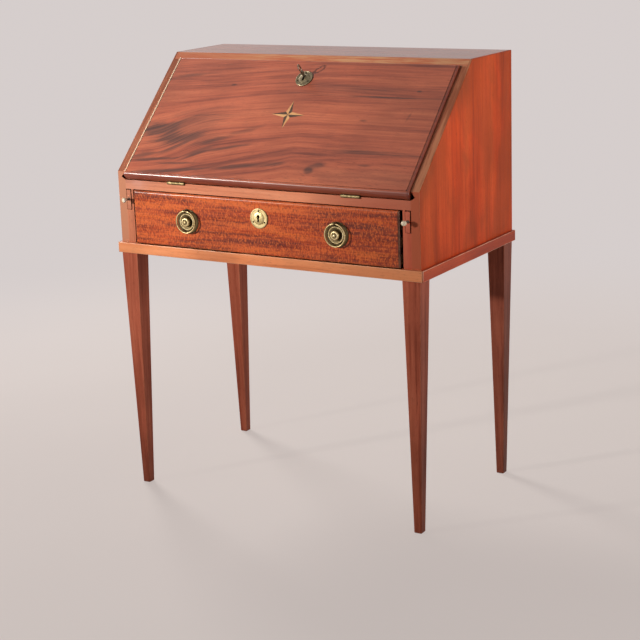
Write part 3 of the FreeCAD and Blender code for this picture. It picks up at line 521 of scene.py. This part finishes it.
def fall_edge_light_and_shade(tree, raw, grain, colour):
    """Painted light on the fall's edges: a painted highlight on the bead at the left end, which also hides the
    shade in its groove, and painted shade on the nose along the foot and on the right bead.
    """
    x, y, z = tree.parts(raw)
    # Painted shade on the nose and on the right bead
    colour = tree.mix(tree.remap(z, nose_shade_top, nose_shade_low, 0.0, nose_shade_share), colour, fall_edge_shade_red)
    right = tree.remap(x, fall_bead_x, fall_bead_x + right_bead_shade_soft, 0.0, right_bead_shade_share)
    colour = tree.mix(right, colour, fall_edge_shade_red)
    # Painted highlight on the left bead, in the fall's palest tone
    left = tree.remap(x, left_bead_highlight_soft - fall_edge_x, -fall_edge_x, 0.0, left_bead_highlight_share)
    above = tree.remap(z, nose_shade_top, nose_shade_top + nose_soft)
    return tree.mix(tree.math("MULTIPLY", left, above), colour, fall_tones[3])


def drawer_figure(tree, raw, grain, colour):
    """Level dark streaks over a bright ground, with a fine ripple across them. The right end is darkened with
    painted shade, as it faces away from the lamp.
    """
    wide = tree.noise(tree.stretched(grain, drawer_wide_scale), detail=4, rough=0.6, distortion=0.3)["Fac"]
    thin = tree.noise(tree.stretched(grain, drawer_thin_scale), detail=3, rough=0.6)["Fac"]
    wide = tree.math("MULTIPLY", wide, drawer_wide_share)
    level = tree.math("ADD", wide, tree.math("MULTIPLY", thin, drawer_thin_share))
    colour = tree.mix(tree.remap(level, *drawer_gloom_shares), colour, drawer_gloom)
    colour = tree.mix(tree.remap(level, *drawer_glow_shares), colour, drawer_fleck)
    ripple = tree.stretched(raw, drawer_ripple_scale)
    ripple = tree.noise(ripple, detail=2, rough=0.6, distortion=0.5)["Fac"]
    colour = tree.mix(tree.remap(ripple, *ripple_light_shares), colour, drawer_fleck)
    colour = tree.mix(tree.remap(ripple, *ripple_dark_shares), colour, drawer_gloom)
    # Painted shade on the right end
    x = tree.parts(raw)["X"]
    end = tree.remap(x, drawer_end_x, drawer_end_x + drawer_end_soft, 0.0, drawer_end_shade_share)
    return tree.mix(end, colour, drawer_end_painted_shade)


def rail_shift(tree, raw, grain, colour):
    """The rail is pinkish at its left end and redder towards the right."""
    x = tree.parts(raw)["X"]
    colour = tree.mix(tree.remap(x, rail_red_start, rail_red_end, 0.0, rail_red_share), colour, rail_red)
    patch = tree.remap(tree.noise(raw, scale=rail_patch_scale, detail=3)["Fac"], *rail_patch_shares)
    pink = tree.math("MULTIPLY", patch, tree.remap(x, rail_pink_start, rail_pink_end))
    return tree.mix(pink, colour, rail_pink)


def top_edge(tree, raw, grain, colour):
    """The sloping front edge of the top: streaks of orange and tan, redder on the left."""
    x = tree.parts(raw)["X"]
    slope = tree.remap(tree.facing()["Y"], *top_slope_shares)
    streak = tree.noise(tree.stretched(raw, edge_streak_scale), detail=4, rough=0.65)["Fac"]
    edge = tree.mix(tree.remap(streak, *edge_streak_shares), edge_orange, edge_pale)
    edge = tree.mix(tree.remap(x, edge_red_start, edge_red_end, 0.0, edge_red_share), edge, edge_orange)
    return tree.mix(slope, colour, edge)


def side_edges(tree, raw, grain, colour):
    """The narrow edges of a side panel are paler than its clouded face, which is brownest near its front."""
    place = tree.coordinates()
    x, y, z = tree.parts(place)
    faces = tree.facing()
    cloud = tree.noise(tree.stretched(place, side_cloud_scale), detail=3)["Fac"]
    cloud = tree.remap(cloud, *side_cloud_shares)
    patch = tree.noise(tree.stretched(place, side_patch_scale), detail=4, distortion=0.8)["Fac"]
    colour = tree.mix(tree.remap(patch, *side_patch_shares), colour, side_brown)
    hair = tree.noise(tree.stretched(place, side_hair_scale), detail=2)["Fac"]
    colour = tree.mix(tree.remap(hair, *side_hair_shares), colour, right_side_brightened_tones[0])
    slope = tree.math("SUBTRACT", tree.math("MULTIPLY", z, fall_up[1]), tree.math("MULTIPLY", y, fall_up[2]))
    near_slope = tree.remap(slope, slope_edge - slope_brown_start, slope_edge - slope_brown_end)
    near_front = tree.remap(y, front_edge + front_brown_start, front_edge + front_brown_end)
    near = tree.math("MAXIMUM", near_slope, near_front)
    colour = tree.mix(tree.math("MULTIPLY", near, cloud), colour, side_brown)
    left = tree.remap(x, middle_soft, -middle_soft)
    sloping = tree.mix(left, slope_tan_right, slope_tan_left)
    streak = tree.noise(tree.stretched(place, slope_streak_scale), detail=4, rough=0.6)["Fac"]
    higher = tree.remap(z, rail_height, top_height, 0.0, slope_red_more_share)
    streak = tree.math("ADD", streak, higher)
    sloping = tree.mix(tree.remap(streak, *slope_streak_shares), sloping, slope_red)
    colour = tree.mix(tree.remap(faces["Y"], *slope_face_shares), colour, sloping)
    upright = tree.mix(left, edge_tan_right, edge_tan_left)
    return tree.mix(tree.remap(faces["Y"], *upright_face_shares), colour, upright)


fall_wood = wood(
    "fall_wood", fall_tones, **fall_frame, band_scale=(1.3, 30, 30), line_scale=(6, 230, 230),
    wave=fall_grain_wave, contrast=1.25, bend=fall_bend, marks=fall_marking, finish=fall_edge_light_and_shade,
    rough=0.32, polish=0.25, shine=0.45,
)
drawer_wood = wood(
    "drawer_wood", drawer_tones, band_scale=(2.2, 40, 40), wave=drawer_grain_wave, finish=drawer_figure,
    rough=0.3, polish=0.1, shine=0.25, worn=0.3,
)
rail_wood = wood("rail_wood", rail_tones, contrast=0.8, finish=rail_shift, worn=0.8)
mould_wood = wood("mould_wood", mould_tones, contrast=0.8, worn=0.6)
moulding_side_wood = {}
side_wood = {}
# Lit and shaded copies of the side wood: darker tones on the left pieces, brighter ones on the right panel, as
# painted light and shade
for side, moulding_tones, panel_tones in (
    ("left", left_side_darkened_tones, left_side_darkened_tones),
    ("right", moulding_side_tones, right_side_brightened_tones),
):
    moulding_side_wood[side] = wood(
        side + "_moulding_wood", moulding_tones, turn=along_y, contrast=0.8, shine=0.15, polish=0.0, worn=1.0,
    )
    side_wood[side] = wood(
        side + "_side_wood", panel_tones, turn=along_z, band_scale=(1.6, 34, 34), line_scale=(3, 260, 260),
        contrast=0.75, finish=side_edges, shine=0.08, polish=0.0, rough=0.42,
    )
leg_wood = wood("leg_wood", leg_tones, turn=along_z, band_scale=(2, 60, 60), shine=0.1, polish=0.0, worn=0.6)
# A shaded copy of the leg wood for the back right leg: painted shade
back_leg_shaded_wood = wood(
    "back_leg_shaded_wood", back_leg_shaded_tones, turn=along_z, band_scale=(2, 60, 60), shine=0.1, polish=0.0, worn=0.6,
)
left_stile_wood = wood("left_stile_wood", left_stile_tones, turn=along_z, contrast=0.8, shine=0.25)
right_stile_wood = wood("right_stile_wood", right_stile_tones, turn=along_z, contrast=0.8, shine=0.25)
left_loper_wood = wood("left_loper_wood", left_stile_tones, turn=along_y, contrast=0.8, rough=0.42)
right_loper_wood = wood("right_loper_wood", right_stile_tones, turn=along_y, contrast=0.8, rough=0.42)
top_wood = wood("top_wood", top_tones, contrast=0.55, finish=top_edge, rough=0.3, polish=0.3, shine=0.5)
plain_wood_x = wood("plain_wood_x", plain_tones, contrast=0.8, rough=0.42)
plain_wood_z = wood("plain_wood_z", plain_tones, turn=along_z, contrast=0.8, rough=0.42)
inner_wood_x = wood("inner_wood_x", inner_tones, contrast=0.8, polish=0.0, rough=0.6)
inner_wood_y = wood("inner_wood_y", inner_tones, turn=along_y, contrast=0.8, polish=0.0, rough=0.6)


def inlay(name, tones):
    return wood(
        name, tones, **fall_frame, band_scale=(20, 200, 200), line_scale=(40, 900, 900),
        wave=inlay_grain_wave, contrast=0.7, rough=0.3, polish=0.35,
    )


light_inlay = inlay("light_inlay", light_tones)
dark_inlay = inlay("dark_inlay", dark_tones)


def metal(name, bright, tarnish, grime, rough, recess, ringed=False):
    """Old metal, tarnished in the hollows. The plates of the pulls keep grime in rings."""
    tree = Tree(name, bright)
    place = tree.coordinates()
    cloud = tree.noise(place, scale=metal_cloud_scale, detail=4, rough=0.65)["Fac"]
    spots = tree.noise(place, scale=metal_spot_scale, detail=3)["Fac"]
    colour = tree.mix(tree.remap(cloud, *tarnish_shares), bright, tarnish)
    hollow = tree.add("ShaderNodeAmbientOcclusion", {"Distance": recess}, samples=8).outputs["AO"]
    colour = tree.mix(tree.remap(hollow, *hollow_shares), colour, grime)
    colour = tree.mix(tree.remap(spots, *spot_shares), colour, grime)
    if ringed:
        x, y, z = tree.parts(place)
        across = tree.math("SUBTRACT", tree.math("ABSOLUTE", x), pull_x)
        from_middle = tree.length(tree.joined(across, 0.0, tree.math("SUBTRACT", z, pull_z)))
        stops = [(share, (amount, amount, amount, 1)) for share, amount in pull_grime_shares]
        ring = tree.ramp(tree.math("DIVIDE", from_middle, pull_radius), stops)
        colour = tree.mix(tree.math("MULTIPLY", ring, ring_grime_share), colour, grime)
    tree.put("Base Color", colour)
    smoothest = rough - metal_gloss_less_share
    roughest = rough + metal_gloss_more_share
    gloss = tree.remap(cloud, *metal_gloss_shares, smoothest, roughest)
    tree.put("Roughness", gloss)
    tree.bump(spots, metal_bump_share, metal_bump_depth)
    tree.shader.inputs["Metallic"].default_value = 1.0
    return tree.material


brass = metal("brass", srgb(206, 188, 142), srgb(164, 144, 96), srgb(58, 44, 22), 0.44, deep_recess)
pull_brass = metal(
    "pull_brass", srgb(222, 204, 160), srgb(186, 164, 116), srgb(48, 34, 14), 0.46, fine_recess, ringed=True,
)
hinge_brass = metal("hinge_brass", srgb(150, 134, 98), srgb(104, 90, 60), srgb(40, 30, 18), 0.5, fine_recess)
# The fall's escutcheon: tarnished brass, darkened further to stand in for dark surroundings mirrored in it
# (painted reflection)
tarnished_shaded_brass = metal("tarnished_shaded_brass", srgb(150, 138, 112), srgb(112, 102, 78), srgb(36, 30, 20), 0.5, deep_recess)
# The lock cases, seen only through the keyholes, are nearly black: painted shade that keeps the keyholes dark
lock_case_shade_brass = metal("lock_case_shade_brass", srgb(44, 36, 22), srgb(30, 24, 15), srgb(12, 10, 7), 0.6, deep_recess)
iron = metal("iron", srgb(150, 138, 120), srgb(104, 92, 78), srgb(40, 34, 28), 0.42, fine_recess)
dark_iron = metal("dark_iron", srgb(40, 34, 28), srgb(28, 24, 20), srgb(14, 12, 10), 0.5, fine_recess)


def bone_material(name, dark_from=None):
    """Polished bone. The foot of a loper's knob, behind a given depth, is dark."""
    tree = Tree(name, bone_tone)
    place = tree.coordinates()
    cloud = tree.noise(place, scale=bone_cloud_scale, detail=4)["Fac"]
    colour = tree.mix(tree.remap(cloud, *bone_cloud_shares), bone_light, bone_dark)
    streak = tree.noise(tree.stretched(place, bone_streak_scale), detail=2)["Fac"]
    colour = tree.mix(tree.remap(streak, *bone_streak_shares), colour, bone_streak)
    if dark_from is not None:
        y = tree.parts(place)["Y"]
        foot = tree.remap(y, dark_from - bone_foot_soft, dark_from + bone_foot_soft, 0.0, bone_foot_share)
        colour = tree.mix(foot, colour, bone_foot)
    tree.put("Base Color", colour)
    tree.put("Roughness", tree.remap(cloud, *bone_gloss_shares))
    tree.bump(cloud, bone_bump_share, bone_bump_depth)
    tree.shader.inputs["Subsurface Weight"].default_value = bone_glow_share
    tree.shader.inputs["Subsurface Radius"].default_value = bone_glow_depths
    set_polish(tree, 0.2, 0.1, 0.5)
    return tree.material


bone = bone_material("bone")
loper_bone = bone_material("loper_bone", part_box("left_loper_knob")[0][1] + loper_ball_depth)

by_slot = {"mahogany": plain_wood_x, "inner_wood": inner_wood_x, "brass": brass, "iron": iron, "bone": bone}
by_node = {
    "fall_board": fall_wood,
    "fall_escutcheon": tarnished_shaded_brass,
    "fall_escutcheon_pins": dark_iron,
    "drawer_escutcheon_pins": dark_iron,
    "rail_hinge_leaves": hinge_brass,
    "fall_hinge_leaves": hinge_brass,
    "fall_lock_case": lock_case_shade_brass,
    "drawer_lock_case": lock_case_shade_brass,
    "left_pull_plate": pull_brass,
    "right_pull_plate": pull_brass,
    "left_loper_knob": loper_bone,
    "right_loper_knob": loper_bone,
    "drawer_front": drawer_wood,
    "star_inlay_light": light_inlay,
    "star_inlay_dark": dark_inlay,
    "front_rail": rail_wood,
    "waist_moulding_front": mould_wood,
    "waist_moulding_left": moulding_side_wood["left"],
    "waist_moulding_right": moulding_side_wood["right"],
    "left_side_panel": side_wood["left"],
    "right_side_panel": side_wood["right"],
    "front_left_leg": leg_wood,
    "front_right_leg": leg_wood,
    "back_left_leg": leg_wood,
    "back_right_leg": back_leg_shaded_wood,
    "left_front_stile": left_stile_wood,
    "right_front_stile": right_stile_wood,
    "left_loper": left_loper_wood,
    "right_loper": right_loper_wood,
    "top_board": top_wood,
    "gallery_partitions": plain_wood_z,
    "drawer_left_side": inner_wood_y,
    "drawer_right_side": inner_wood_y,
    "drawer_bottom": inner_wood_x,
    "left_loper_guide": inner_wood_y,
    "right_loper_guide": inner_wood_y,
    "loper_bearers": inner_wood_y,
}
slot_of = {part["node"]: part["material_slot"] for part in frame["record"]["subparts"]}
for name, piece in nodes.items():
    material = by_node[name] if name in by_node else by_slot[slot_of[name]]
    piece.data.materials.clear()
    piece.data.materials.append(material)


def make_floor():
    """A wide disc whose pale surface fades into the colour of the backdrop."""
    mesh = bpy.data.meshes.new("floor")
    rim = []
    for n in range(floor_sides):
        turn = 2 * math.pi * n / floor_sides
        rim.append((floor_radius * math.cos(turn), floor_radius * math.sin(turn), 0))
    mesh.from_pydata(rim, [], [list(range(floor_sides))])
    floor = bpy.data.objects.new("floor", mesh)
    bpy.context.scene.collection.objects.link(floor)
    tree = Tree("floor", (*floor_colour, 1))
    place = tree.coordinates()
    cloud = tree.noise(place, scale=floor_cloud_scale, detail=4)["Fac"]
    shade = tree.remap(cloud, *floor_cloud_shares)
    tree.put("Base Color", tree.mix(1.0, (*floor_colour, 1), tree.joined(shade, shade, shade), "MULTIPLY"))
    tree.shader.inputs["Roughness"].default_value = floor_rough_share
    tree.shader.inputs["Specular IOR Level"].default_value = floor_shine_share
    far = tree.remap(tree.length(place), floor_fade_start, floor_fade_end)
    glow_colour = tree.mix(far, (*floor_glow_colour, 1), (*backdrop_colour, 1))
    backdrop = tree.add("ShaderNodeEmission", {"Color": glow_colour, "Strength": 1.0}).outputs["Emission"]
    path = tree.add("ShaderNodeLightPath", {}).outputs
    seen = tree.math("MAXIMUM", path["Is Camera Ray"], path["Is Glossy Ray"])
    seen = tree.math("MAXIMUM", seen, path["Is Transmission Ray"])
    glow = tree.math("ADD", tree.math("MULTIPLY", far, 1 - floor_glow_share), floor_glow_share)
    share = tree.math("MULTIPLY", glow, seen)
    inputs = {0: share, 1: tree.shader.outputs["BSDF"], 2: backdrop}
    mixed = tree.add("ShaderNodeMixShader", inputs).outputs["Shader"]
    tree.links.new(mixed, tree.nodes["Material Output"].inputs["Surface"])
    mesh.materials.append(tree.material)


def make_world():
    """Even fill light, and the backdrop's own colour wherever it is seen directly or mirrored."""
    world = bpy.data.worlds.new("studio")
    world.use_nodes = True
    bpy.context.scene.world = world
    links = world.node_tree.links
    every = world.node_tree.nodes
    fill = every["Background"]
    fill.inputs["Color"].default_value = (*fill_colour, 1)
    fill.inputs["Strength"].default_value = fill_strength
    seen = every.new("ShaderNodeBackground")
    seen.inputs["Color"].default_value = (*backdrop_colour, 1)
    seen.inputs["Strength"].default_value = 1.0
    path = every.new("ShaderNodeLightPath")
    share = path.outputs["Is Camera Ray"]
    for ray in ("Is Glossy Ray", "Is Transmission Ray"):
        most = every.new("ShaderNodeMath")
        most.operation = "MAXIMUM"
        links.new(share, most.inputs[0])
        links.new(path.outputs[ray], most.inputs[1])
        share = most.outputs[0]
    mix = every.new("ShaderNodeMixShader")
    links.new(share, mix.inputs[0])
    links.new(fill.outputs["Background"], mix.inputs[1])
    links.new(seen.outputs["Background"], mix.inputs[2])
    links.new(mix.outputs["Shader"], every["World Output"].inputs["Surface"])


def make_lamp(name, place, target, size, spread, power, colour):
    lamp = bpy.data.lights.new(name, "AREA")
    lamp.shape = "DISK"
    lamp.size = size
    lamp.spread = math.radians(spread)
    lamp.energy = power
    lamp.color = colour
    holder = bpy.data.objects.new(name, lamp)
    holder.location = place
    holder.rotation_euler = (Vector(target) - Vector(place)).to_track_quat("-Z", "Y").to_euler()
    bpy.context.scene.collection.objects.link(holder)


def make_camera():
    data = bpy.data.cameras.new("camera")
    data.lens = camera_lens
    data.sensor_width = camera_sensor
    camera = bpy.data.objects.new("camera", data)
    columns = Matrix((camera_right, camera_up, camera_back)).transposed()
    camera.matrix_world = Matrix.Translation(camera_place) @ columns.to_4x4()
    bpy.context.scene.collection.objects.link(camera)
    bpy.context.scene.camera = camera


make_floor()
make_world()
make_lamp("key_lamp", key_place, key_target, key_size, key_spread, key_power, key_colour)
make_lamp("side_lamp", side_place, side_target, side_size, side_spread, side_power, side_colour)
make_lamp("high_lamp", high_place, high_target, high_size, high_spread, high_power, high_colour)
make_camera()
bpy.context.scene.view_settings.view_transform = "Standard"
